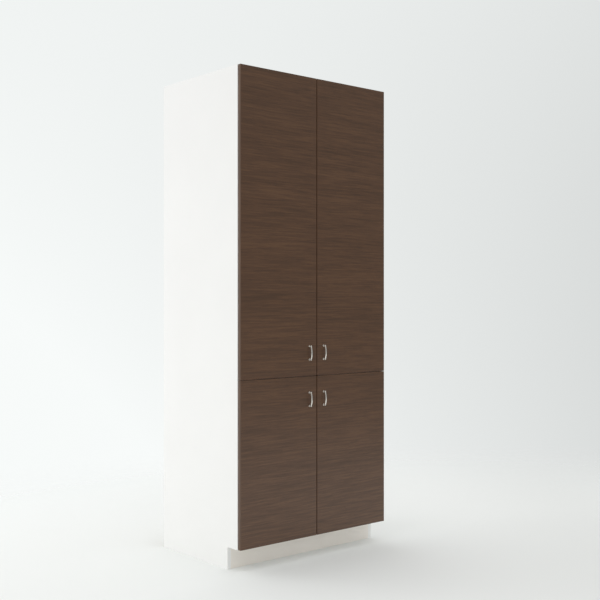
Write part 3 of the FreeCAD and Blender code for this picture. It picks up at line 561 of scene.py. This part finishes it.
# %% Measures of a pull
pull_low, pull_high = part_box("upper_left_handle")
screws_low, screws_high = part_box("upper_left_handle_screws")
SCREW_HEAD = screws_high.x - screws_low.x
PULL_SPACING = screws_high.z - screws_low.z - SCREW_HEAD
PULL_PROJECTION = pull_high.y - pull_low.y
FOOT_RADIUS = (pull_high.x - pull_low.x) / 2
END_PROJECTION = 12 * MM
pull_middle = (pull_low + pull_high) / 2
door_face = pull_high.y
bow_rise = PULL_PROJECTION - END_PROJECTION
bow_radius = ((PULL_SPACING / 2) ** 2 + bow_rise ** 2) / (2 * bow_rise)
half_turn = math.asin(PULL_SPACING / 2 / bow_radius)
print(f"screws {PULL_SPACING / MM:.1f} mm apart, bow radius {bow_radius / MM:.1f} mm")

# %% The bowed grip: a rounded section, spun about the centre of the bow
GRIP_WIDTH = 7 * MM
GRIP_THICK = 5.5 * MM
GRIP_ROUND = 2.5 * MM
ROUND_STEPS = 6
BOW_STEPS = 40
bow_centre = Vector((pull_middle.x, pull_low.y + bow_radius, pull_middle.z))
grip_reach = bow_radius - GRIP_THICK / 2
grip_end = bow_centre + grip_reach * Vector((0, -math.cos(half_turn), -math.sin(half_turn)))
grip = start(bpy.ops.mesh.primitive_plane_add, grip_end, scale=(GRIP_WIDTH, GRIP_THICK, 1),
             turn=(half_turn, 0, 0), size=1)
pick(grip, "VERT", lambda corner: True)
bpy.ops.mesh.bevel(offset=GRIP_ROUND, segments=ROUND_STEPS, affect="VERTICES")
bpy.ops.mesh.select_all(action="SELECT")
bpy.ops.mesh.delete(type="ONLY_FACE")
bpy.ops.mesh.select_all(action="SELECT")
bpy.ops.mesh.spin(steps=BOW_STEPS, angle=2 * half_turn, center=bow_centre, axis=(1, 0, 0))
bpy.ops.mesh.select_all(action="SELECT")
bpy.ops.mesh.fill_holes(sides=0)
bpy.ops.mesh.normals_make_consistent(inside=False)
done()
print(f"grip of {len(grip.data.polygons)} faces")

# %% Two posts with flared feet and ball ends
FACE_FRONT = (math.radians(90), 0, 0)
POST_SIDES = 40
POST_RADIUS = 4 * MM
BALL_RADIUS = 4.6 * MM
BALL_ANGLES = range(-20, 81, 10)
# The height above the door's face, in mm, and the share of the foot's flare there. A post starts
# behind the face, and is cut flush with it later.
FLARE = ((-1, 1.0), (0.8, 1.0), (1.6, 0.7), (3, 0.3), (5, 0.0), (6.5, 0.0))


def turned(steps, place, turn, sides):
    """A round piece grown from a circle: the radius at each height, then turned and set in its place."""
    (radius, height), *rest = steps
    piece = start(bpy.ops.mesh.primitive_circle_add, (0, 0, height), radius=radius, vertices=sides,
                  fill_type="NGON")
    bpy.ops.object.mode_set(mode="EDIT")
    bpy.ops.mesh.select_all(action="SELECT")
    for next_radius, next_height in rest:
        bpy.ops.mesh.extrude_region_move(TRANSFORM_OT_translate={"value": (0, 0, next_height - height)})
        share = next_radius / radius
        bpy.ops.transform.resize(value=(share, share, 1), center_override=(0, 0, next_height))
        radius, height = next_radius, next_height
    bpy.ops.mesh.select_all(action="SELECT")
    bpy.ops.mesh.normals_make_consistent(inside=False)
    done()
    piece.location = place
    piece.rotation_euler = turn
    bpy.ops.object.transform_apply(location=True, rotation=True, scale=True)
    return piece


ball_distance = END_PROJECTION - GRIP_THICK / 2
post_steps = [(POST_RADIUS + share * (FOOT_RADIUS - POST_RADIUS), height * MM) for height, share in FLARE]
for slope in map(math.radians, BALL_ANGLES):
    post_steps.append((BALL_RADIUS * math.cos(slope), ball_distance + BALL_RADIUS * math.sin(slope)))
posts = [turned(post_steps, (pull_middle.x, door_face, pull_middle.z + side * PULL_SPACING / 2), FACE_FRONT,
                POST_SIDES) for side in (-1, 1)]
print(f"{len(posts)} posts of {len(post_steps)} rings")

# %% One pull, melted into one casting and cut flush with the door
VOXEL = 0.4 * MM
MELT_SHARE = 0.5
MELT_ROUNDS = 8
pull = joined("upper_left_pull", [grip, *posts])
apply_modifier(pull, "REMESH", mode="VOXEL", voxel_size=VOXEL)
apply_modifier(pull, "SMOOTH", factor=MELT_SHARE, iterations=MELT_ROUNDS)
pick(pull, "FACE", lambda face: True)
bpy.ops.mesh.bisect(plane_co=(0, door_face, 0), plane_no=(0, 1, 0), use_fill=True, clear_outer=True)
done()
smooth(pull)
print(f"pull of {len(pull.data.polygons)} faces")

# %% Four pulls from one


def twin_of(piece, name, move):
    """A copy of a piece with its own mesh, moved inside that mesh."""
    twin = piece.copy()
    twin.data = piece.data.copy()
    twin.name = name
    bpy.context.scene.collection.objects.link(twin)
    twin.data.transform(move)
    return twin


pulls = {"upper_left": pull}
for door in DOORS[1:]:
    move = Matrix.Translation(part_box(f"{door}_handle")[0] - pull_low)
    pulls[door] = twin_of(pull, f"{door}_pull", move)
for door, piece in pulls.items():
    hand_over(piece, satin_nickel, f"{door}_door", "satin_nickel", f"{door}_handle")

# %% [markdown]
# ## Screws with a cross recess
# Behind each door, two screws hold the pull, and each hinge plate has two more and one through its arm.
# All are pan heads, and what makes one read as a screw is its domed head with a cross-shaped recess. A
# bump could fake that, but it would be lost in the mesh. So the round body grows from a circle, and a
# boolean modifier with two crossed bars cuts the recess.

# %% A function for one screw
SCREW_SIDES = 32
HEAD_RADIUS = SCREW_HEAD / 2
TIP_LENGTH = 1.5 * MM
TIP_SHARE = 0.3
# The share of the head's radius at each share of its height, counted from the top down.
HEAD_DOME = ((1.0, 1.0), (1.0, 0.55), (0.9, 0.2), (0.7, 0.0))
RECESS_LENGTH = 4.4 * MM
RECESS_WIDTH = 1.1 * MM
RECESS_DEPTH = 1.3 * MM


def cross_screw(length, head, shank_radius):
    """A pan-head screw that points down, with the top of its head at the origin."""
    shank = [(TIP_SHARE * shank_radius, -length), (shank_radius, TIP_LENGTH - length),
             (shank_radius, -head)]
    dome = [(share * HEAD_RADIUS, -depth * head) for share, depth in HEAD_DOME]
    screw = turned([*shank, *dome], (0, 0, 0), (0, 0, 0), SCREW_SIDES)
    bar = (RECESS_LENGTH, RECESS_WIDTH, 2 * RECESS_DEPTH)
    bars = [start(bpy.ops.mesh.primitive_cube_add, (0, 0, 0), bar, (0, 0, angle), size=1)
            for angle in (0, math.radians(90))]
    cross = joined("recess_cutter", bars)
    apply_modifier(screw, "BOOLEAN", object=cross, operation="DIFFERENCE", solver="EXACT", use_self=True)
    bpy.data.objects.remove(cross)
    return screw


print(f"screw heads {SCREW_HEAD / MM:.1f} mm across, recess {RECESS_DEPTH / MM:.1f} mm deep")

# %% Places of the solids in a node
MERGE = 0.001 * MM


def solid_boxes(name):
    """The box of every separate solid in a node, read from a merged copy of its mesh."""
    bpy.ops.object.select_all(action="DESELECT")
    copy = twin_of(nodes[name], f"{name}_copy", Matrix())
    copy.select_set(True)
    bpy.context.view_layer.objects.active = copy
    bpy.ops.object.mode_set(mode="EDIT")
    bpy.ops.mesh.select_all(action="SELECT")
    bpy.ops.mesh.remove_doubles(threshold=MERGE)
    bpy.ops.mesh.separate(type="LOOSE")
    done()
    boxes = []
    for solid in bpy.context.selected_objects:
        places = [vertex.co for vertex in solid.data.vertices]
        boxes.append((Vector(map(min, *places)), Vector(map(max, *places))))
    bpy.ops.object.delete()
    return sorted(boxes, key=lambda box: (box[0].z, box[0].x))


print(f"{len(solid_boxes('plate_screws'))} screws hold the hinges")

# %% One screw of each kind, copied to its places
PLATE_HEAD = 1.8 * MM
PULL_HEAD = 2.2 * MM
PLATE_SCREW = 16.3 * MM
PLATE_SHANK = 2.5 * MM
THIN_SHANK = 2 * MM


def screws_in(node, axis, head_height, name):
    """New screws in the places of a node's screws, whose heads face inwards along an axis."""
    made, models = [], {}
    for low, high in solid_boxes(node):
        length = high[axis] - low[axis]
        shank = PLATE_SHANK if near(length, PLATE_SCREW) else THIN_SHANK
        if shank not in models:
            models[shank] = cross_screw(length, head_height, shank)
        inwards = -1 if axis == 0 and low.x > 0 else 1
        top = (low + high) / 2
        top[axis] = high[axis] if inwards > 0 else low[axis]
        facing = Vector((0, 0, 0))
        facing[axis] = inwards
        turn = facing.to_track_quat("Z", "Y").to_matrix().to_4x4()
        made.append(twin_of(models[shank], name, Matrix.Translation(top) @ turn))
    for model in models.values():
        bpy.data.objects.remove(model)
    screws = joined(name, made)
    smooth(screws)
    return screws


hinge_screws = screws_in("plate_screws", 0, PLATE_HEAD, "hinge_screws")
hand_over(hinge_screws, nickel_steel, "carcass", "plated_steel", "plate_screws")
for door in DOORS:
    pair = screws_in(f"{door}_handle_screws", 1, PULL_HEAD, f"{door}_pull_screws")
    hand_over(pair, nickel_steel, f"{door}_door", "plated_steel", f"{door}_handle_screws")

# %% [markdown]
# ## Door bumpers
# A clear, soft dot near each free corner keeps a door from clacking against the carcass. It comes as a
# sticker with a rounded top. Half a sphere would be too round, so a circle is extruded and drawn in by
# steps: upright at the rim, then ever flatter, with a small flat top.

# %% Bumper dots
FACE_REAR = (math.radians(-90), 0, 0)
DOT_SIDES = 32
DOT_SMOOTH = 60
# The share of the dot's radius at each share of its thickness.
DOT_DOME = ((1.0, 0.0), (1.0, 0.3), (0.95, 0.55), (0.82, 0.8), (0.62, 0.95), (0.4, 1.0))
for door in DOORS:
    dots = []
    for low, high in solid_boxes(f"{door}_bumpers"):
        radius, thick = (high.x - low.x) / 2, high.y - low.y
        dome = [(share * radius, rise * thick) for share, rise in DOT_DOME]
        dots.append(turned(dome, ((low.x + high.x) / 2, low.y, (low.z + high.z) / 2), FACE_REAR, DOT_SIDES))
    pair = joined(f"{door}_bumper_dots", dots)
    smooth(pair, DOT_SMOOTH)
    hand_over(pair, soft_clear, f"{door}_door", "clear_bumper", f"{door}_bumpers")

# %% [markdown]
# ## The studio
# The cabinet stands on a pale floor in even, soft light that comes mostly from its left. Lamps
# alone could do that, but their edges would show in the satin doors. So a dome of light does most of the
# work, brighter to the left than to the right: the white side stays light and the doors fall a little
# into shade. What the camera and reflections see of the dome is a separate, pale gradient, brightest
# behind the cabinet. One tall softbox, behind and to the left, lifts the white side. The floor is a disc
# with a painted shade that darkens it a little to the right, away from the light. It fades out, so that
# it has no horizon.

# %% Camera
VIEW_TURN = math.radians(40.496)
CAMERA_HEIGHT = 1226.34 * MM
CAMERA_STEP = Vector((-2610.16, -3465.97)) * MM
CAMERA_LENS = 58.06
door_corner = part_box("upper_left_door_edging")[0]
camera_data = bpy.data.cameras.new("photo_camera")
camera_data.lens = CAMERA_LENS
camera = bpy.data.objects.new("photo_camera", camera_data)
camera.location = (door_corner.x + CAMERA_STEP.x, door_corner.y + CAMERA_STEP.y, CAMERA_HEIGHT)
camera.rotation_euler = (math.radians(90), 0, -VIEW_TURN)
bpy.context.scene.collection.objects.link(camera)
bpy.context.scene.camera = camera
print(f"camera at {[round(side, 3) for side in camera.location]}, {CAMERA_LENS} mm")

# %% A function for gradients of the world
# Left and back as the camera sees them.
LEFT = Vector((-math.cos(VIEW_TURN), math.sin(VIEW_TURN), 0))
BACK = Vector((math.sin(VIEW_TURN), math.cos(VIEW_TURN), 0))
ABOVE = Vector((0, 0, 1))
LEAST = 0.25
world = bpy.data.worlds.new("studio")
world.use_nodes = True
bpy.context.scene.world = world
sky = world.node_tree
sky.nodes.clear()
direction = add_node(sky, "ShaderNodeTexCoord").outputs["Generated"]


def gradient(terms, most):
    """The strength of the world in every direction, as a sum of terms within limits."""
    total = 0.0
    for weight, *axes in terms:
        share = weight
        for axis in axes:
            lean = add_node(sky, "ShaderNodeVectorMath", {0: direction, 1: axis}, operation="DOT_PRODUCT")
            share = add_node(sky, "ShaderNodeMath", {
                0: share, 1: lean.outputs["Value"]}, operation="MULTIPLY").outputs["Value"]
        total = add_node(sky, "ShaderNodeMath", {0: total, 1: share}, operation="ADD").outputs["Value"]
    return add_node(sky, "ShaderNodeClamp", {"Value": total, "Min": LEAST, "Max": most}).outputs["Result"]


print(f"left is {[round(side, 2) for side in LEFT]}, back is {[round(side, 2) for side in BACK]}")

# %% Dome of light and pale background
# Each term is a weight, times how far a direction leans along each of the axes that follow it.
DOME = ((0.81,), (0.17, LEFT), (0.27, ABOVE))
BACKGROUND = ((0.605,), (0.41, LEFT), (-0.44, ABOVE), (0.13, BACK), (0.13, BACK, BACK),
              (-0.6, LEFT, ABOVE), (0.3, BACK, ABOVE), (0.7, ABOVE, ABOVE))
DOME_MOST = 1.1
BACKGROUND_MOST = 0.97
# The camera never meets less than this pale grey, so that every view keeps a light background.
CAMERA_LEAST = 0.69
rays = add_node(sky, "ShaderNodeLightPath").outputs
seen = add_node(sky, "ShaderNodeMath", {
    0: rays["Is Camera Ray"], 1: rays["Is Glossy Ray"]}, operation="MAXIMUM")
seen = add_node(sky, "ShaderNodeMath", {
    0: seen.outputs["Value"], 1: rays["Is Transmission Ray"]}, operation="MAXIMUM")
dome = add_node(sky, "ShaderNodeBackground", {
    "Color": linear("#ffffff"), "Strength": gradient(DOME, DOME_MOST)})
camera_least = add_node(sky, "ShaderNodeMath", {
    0: rays["Is Camera Ray"], 1: CAMERA_LEAST}, operation="MULTIPLY")
strength = add_node(sky, "ShaderNodeMath", {
    0: gradient(BACKGROUND, BACKGROUND_MOST), 1: camera_least.outputs["Value"]}, operation="MAXIMUM")
pale = add_node(sky, "ShaderNodeBackground", {
    "Color": linear("#fbfefd"), "Strength": strength.outputs["Value"]})
mixed = add_node(sky, "ShaderNodeMixShader", {
    0: seen.outputs["Value"], 1: dome.outputs["Background"], 2: pale.outputs["Background"]})
add_node(sky, "ShaderNodeOutputWorld", {"Surface": mixed.outputs["Shader"]})
print(f"dome of {len(DOME)} terms, background of {len(BACKGROUND)} terms")

# %% Softbox
SOFTBOX_PLACE = Vector((-2.2, 2.5, 0.9))
SOFTBOX_AIM = Vector((-0.45, 0, 0.9))
SOFTBOX_WIDE = 1.2
SOFTBOX_TALL = 4.4
SOFTBOX_POWER = 21
lamp_data = bpy.data.lights.new("softbox", "AREA")
lamp_data.shape = "RECTANGLE"
lamp_data.size = SOFTBOX_WIDE
lamp_data.size_y = SOFTBOX_TALL
lamp_data.energy = SOFTBOX_POWER
lamp = bpy.data.objects.new("softbox", lamp_data)
# It lights the white boards but isn't mirrored in them, so that none of them burns out at a low angle.
lamp.visible_glossy = False
lamp.location = SOFTBOX_PLACE
lamp.rotation_euler = (SOFTBOX_AIM - SOFTBOX_PLACE).to_track_quat("-Z", "Y").to_euler()
bpy.context.scene.collection.objects.link(lamp)
print(f"softbox of {SOFTBOX_WIDE} x {SOFTBOX_TALL} m at {SOFTBOX_POWER} W")

# %% Floor that fades away
FLOOR_RADIUS = 6.5
FLOOR_SIDES = 96
FLOOR_SOLID = 1.8
FLOOR_GONE = 4.4
FLOOR_CENTRE = Vector((0.2, -1.4, 0))
# Painted shade: the floor's colour is darkest at the first of these leans to the left, and plain from the
# second on.
FLOOR_PAINTED_SHADE_FULL = -1.9
FLOOR_PAINTED_SHADE_NONE = -0.7
FLOOR_PAINTED_SHADE_STOPS = ((0.0, "#e6e8e6"), (1.0, "#eff1ef"))
floor = start(bpy.ops.mesh.primitive_circle_add, (0, 0, 0), radius=FLOOR_RADIUS, vertices=FLOOR_SIDES,
              fill_type="NGON")
floor.name = "studio_floor"
# Matt studio paint gives a pale ground that takes a soft shadow and mirrors nothing. Its colour holds a
# painted shade, darker towards the right, away from the light.
floor_finish, tree, place = new_finish("pale_studio_floor")
reach = add_node(tree, "ShaderNodeVectorMath", {0: place, 1: FLOOR_CENTRE}, operation="DISTANCE")
fade = add_node(tree, "ShaderNodeMapRange", {
    "Value": reach.outputs["Value"], "From Min": FLOOR_SOLID, "From Max": FLOOR_GONE},
    interpolation_type="SMOOTHSTEP")
# Painted shade: the floor's colour grows darker towards the right, away from the light.
lean = add_node(tree, "ShaderNodeVectorMath", {0: place, 1: LEFT}, operation="DOT_PRODUCT")
light = add_node(tree, "ShaderNodeMapRange", {
    "Value": lean.outputs["Value"], "From Min": FLOOR_PAINTED_SHADE_FULL, "From Max": FLOOR_PAINTED_SHADE_NONE},
    interpolation_type="SMOOTHSTEP")
floor_painted_shade = add_node(tree, "ShaderNodeValToRGB", {"Fac": light.outputs["Result"]}, stops=FLOOR_PAINTED_SHADE_STOPS)
lit = add_node(tree, "ShaderNodeBsdfDiffuse", {"Color": floor_painted_shade.outputs["Color"]})
clear = add_node(tree, "ShaderNodeBsdfTransparent")
faded = add_node(tree, "ShaderNodeMixShader", {
    0: fade.outputs["Result"], 1: lit.outputs["BSDF"], 2: clear.outputs["BSDF"]})
add_node(tree, "ShaderNodeOutputMaterial", {"Surface": faded.outputs["Shader"]})
floor.data.materials.append(floor_finish)
floor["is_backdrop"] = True
print(f"floor fades from {FLOOR_SOLID} m to {FLOOR_GONE} m")

# %% [markdown]
# ## Colours as written
# The Standard view shows colours as they are written, without a film curve. The last cell measures the
# box of the dressed cabinet, since finishes and bands must not make the object grow.

# %% View transform and sizes
bpy.context.scene.view_settings.view_transform = "Standard"
low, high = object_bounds()
